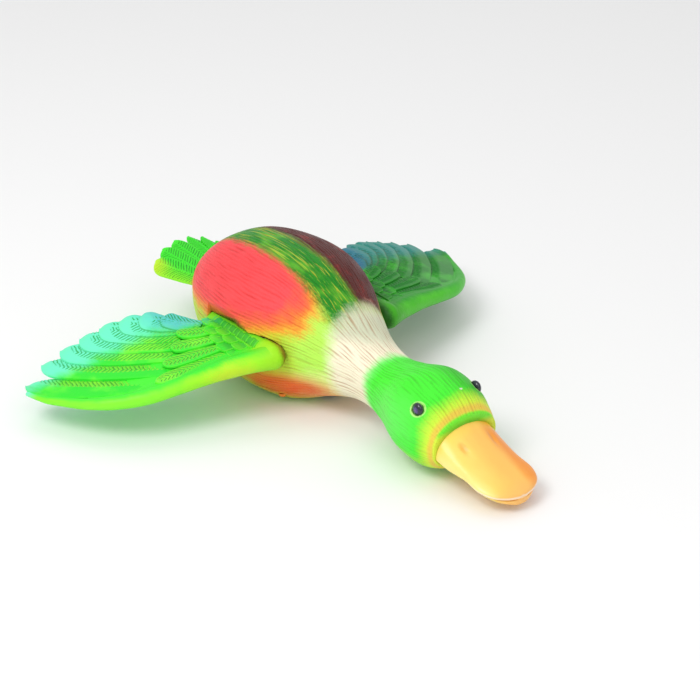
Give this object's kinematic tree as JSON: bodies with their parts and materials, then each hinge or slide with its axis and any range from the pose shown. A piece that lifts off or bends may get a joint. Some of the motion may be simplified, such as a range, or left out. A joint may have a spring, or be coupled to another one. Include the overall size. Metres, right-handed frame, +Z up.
{
  "type": "flapping wing duck decoy",
  "caption": "Duck-shaped decoy with a painted foam body, spread feathered wings that flap on geared hinges, a battery drive in the belly and a socket for a ground stake.",
  "frame": {"origin": "on the ground, midway between the tip of the bill and the tip of the tail", "axes": "+Z up, the bill points along -Y, the bird's right wing is on the -X side"},
  "size_m": [0.4012, 0.3981, 0.1067],
  "materials": {
    "painted_skin": "airbrushed soft vinyl, satin, fine engraved feather lines",
    "belly_paint": "airbrushed soft vinyl, satin",
    "wing_paint": "airbrushed soft vinyl, satin, green running to turquoise",
    "tail_paint": "airbrushed soft vinyl, satin",
    "bill_paint": "airbrushed soft vinyl, semi-gloss",
    "eye_gloss": "dark glossy bead",
    "frame_plastic": "black moulded nylon",
    "acetal": "natural acetal",
    "bronze": "sintered bronze, oiled",
    "steel": "plated",
    "motor_steel": "pressed can, nickel plated",
    "board": "green solder mask",
    "cell_wrap": "plain printed wrap",
    "lead_red": "PVC insulation",
    "lead_black": "PVC insulation"
  },
  "bodies": {
    "root": {"body_shell": "painted_skin", "belly_pan": "belly_paint", "tail_fan": "tail_paint", "upper_bill": "bill_paint", "lower_bill": "bill_paint", "left_eye": "eye_gloss", "right_eye": "eye_gloss", "left_hinge_pin": "steel", "right_hinge_pin": "steel", "drive_frame": "frame_plastic", "front_plate": "frame_plastic", "gearbox": "frame_plastic", "motor_can": "motor_steel", "idler_pin": "steel", "control_board": "board", "motor_lead_red": "lead_red", "motor_lead_black": "lead_black", "battery_lead_red": "lead_red", "door_pin": "steel", "battery_cell_1": "cell_wrap", "battery_cell_2": "cell_wrap", "battery_cell_3": "cell_wrap", "battery_cell_4": "cell_wrap", "front_contact": "steel", "rear_contact": "steel", "stake_sleeve": "steel", "switch_body": "frame_plastic", "pan_screw_1": "steel", "pan_screw_2": "steel", "pan_screw_3": "steel", "pan_screw_4": "steel", "frame_screw_1": "steel", "frame_screw_2": "steel", "frame_screw_3": "steel", "frame_screw_4": "steel", "plate_screw_1": "steel", "plate_screw_2": "steel", "plate_screw_3": "steel", "plate_screw_4": "steel", "motor_screw_1": "steel", "motor_screw_2": "steel"},
    "right_wing_body": {"right_wing": "wing_paint", "right_sector_gear": "acetal", "right_front_bush": "bronze", "right_rear_bush": "bronze"},
    "left_wing_body": {"left_wing": "wing_paint", "left_sector_gear": "acetal", "left_front_bush": "bronze", "left_rear_bush": "bronze"},
    "drive_gear_body": {"drive_gear": "acetal", "output_shaft": "steel"},
    "idler_gear_body": {"idler_gear": "acetal"},
    "door_body": {"battery_door": "belly_paint"},
    "knob_body": {"switch_knob": "acetal"}
  },
  "joints": [
    {"name": "right_wing_flap", "type": "hinge", "parent": "root", "child": "right_wing_body", "pos_m": [-0.054, 0.036, 0.05], "axis": [0, 1, 0], "range_deg": [-5, 35]},
    {"name": "left_wing_flap", "type": "hinge", "parent": "root", "child": "left_wing_body", "pos_m": [0.054, 0.036, 0.05], "axis": [0, -1, 0], "range_deg": [-5, 35]},
    {"name": "drive_gear_turn", "type": "hinge", "parent": "root", "child": "drive_gear_body", "pos_m": [-0.012, 0.029, 0.05], "axis": [0, -1, 0], "range_deg": [-12.5, 87.5]},
    {"name": "idler_gear_turn", "type": "hinge", "parent": "root", "child": "idler_gear_body", "pos_m": [0.012, 0.029, 0.05], "axis": [0, 1, 0], "range_deg": [-12.5, 87.5]},
    {"name": "battery_door_hinge", "type": "hinge", "parent": "root", "child": "door_body", "pos_m": [0, 0.081, 0.0036], "axis": [1, 0, 0], "range_deg": [0, 95]},
    {"name": "switch_slide", "type": "slide", "parent": "root", "child": "knob_body", "axis": [0, 1, 0], "range_m": [-0.002, 0.002]}
  ],
  "couplings": [
    {"joint": "left_wing_flap", "follows": "right_wing_flap", "ratio": 1},
    {"joint": "drive_gear_turn", "follows": "right_wing_flap", "ratio": 2.5},
    {"joint": "idler_gear_turn", "follows": "right_wing_flap", "ratio": 2.5}
  ]
}
